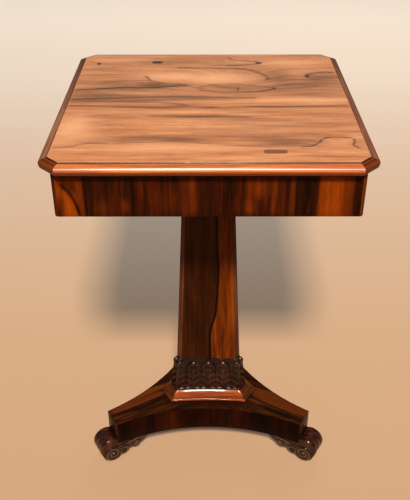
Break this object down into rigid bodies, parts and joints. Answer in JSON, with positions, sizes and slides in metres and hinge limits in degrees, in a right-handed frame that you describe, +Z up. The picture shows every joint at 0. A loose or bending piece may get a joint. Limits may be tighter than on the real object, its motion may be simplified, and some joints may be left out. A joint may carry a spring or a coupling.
{
  "type": "square occasional table",
  "caption": "Square pedestal table: canted moulded top over a plain frieze, three-sided tapered column with leaf collar, hollow-sided tripod platform on scroll feet.",
  "frame": {"origin": "on the floor, under the middle of the whole outline; the column's axis is 7.75 mm in front of it (Y -7.75 mm)", "axes": "+Z up, -Y towards the viewer at the front, +X to the viewer's right; one arm of the platform points to +Y"},
  "size_m": [0.5, 0.5155, 0.7399],
  "materials": {
    "figured_veneer": "polished figured rosewood veneer, warm orange brown",
    "edge_moulding": "polished solid rosewood moulding",
    "frieze_veneer": "polished rosewood veneer, grain upright",
    "corner_wood": "polished solid rosewood, grain upright",
    "column_veneer": "polished rosewood veneer, grain along the column",
    "carved_wood": "carved and polished dark rosewood",
    "base_moulding": "polished solid rosewood moulding",
    "platform_veneer": "polished rosewood veneer",
    "carcase_wood": "bare secondary wood",
    "beech": "bare beech"
  },
  "bodies": {
    "root": {"top_board": "carcase_wood", "top_veneer": "figured_veneer", "moulding_front": "edge_moulding", "moulding_right": "edge_moulding", "moulding_rear": "edge_moulding", "moulding_left": "edge_moulding", "cant_front_right": "edge_moulding", "cant_rear_right": "edge_moulding", "cant_rear_left": "edge_moulding", "cant_front_left": "edge_moulding", "rail_front": "carcase_wood", "rail_right": "carcase_wood", "rail_rear": "carcase_wood", "rail_left": "carcase_wood", "post_front_right": "corner_wood", "post_rear_right": "corner_wood", "post_rear_left": "corner_wood", "post_front_left": "corner_wood", "frieze_veneer_front": "frieze_veneer", "frieze_veneer_right": "frieze_veneer", "frieze_veneer_rear": "frieze_veneer", "frieze_veneer_left": "frieze_veneer", "bearer": "carcase_wood", "column_core": "carcase_wood", "column_wedge": "beech", "column_face_front": "column_veneer", "column_face_right": "column_veneer", "column_face_left": "column_veneer", "column_corner_right": "column_veneer", "column_corner_rear": "column_veneer", "column_corner_left": "column_veneer", "collar_face_front": "carved_wood", "collar_face_right": "carved_wood", "collar_face_left": "carved_wood", "collar_corner_right": "carved_wood", "collar_corner_rear": "carved_wood", "collar_corner_left": "carved_wood", "base_moulding_front": "base_moulding", "base_moulding_right": "base_moulding", "base_moulding_left": "base_moulding", "base_cant_right": "base_moulding", "base_cant_rear": "base_moulding", "base_cant_left": "base_moulding", "platform_core": "carcase_wood", "platform_top_veneer": "platform_veneer", "platform_side_front": "platform_veneer", "platform_side_right": "platform_veneer", "platform_side_left": "platform_veneer", "platform_end_right": "platform_veneer", "platform_end_rear": "platform_veneer", "platform_end_left": "platform_veneer", "foot_right": "carved_wood", "foot_rear": "carved_wood", "foot_left": "carved_wood", "foot_dowels": "beech"}
  },
  "joints": []
}
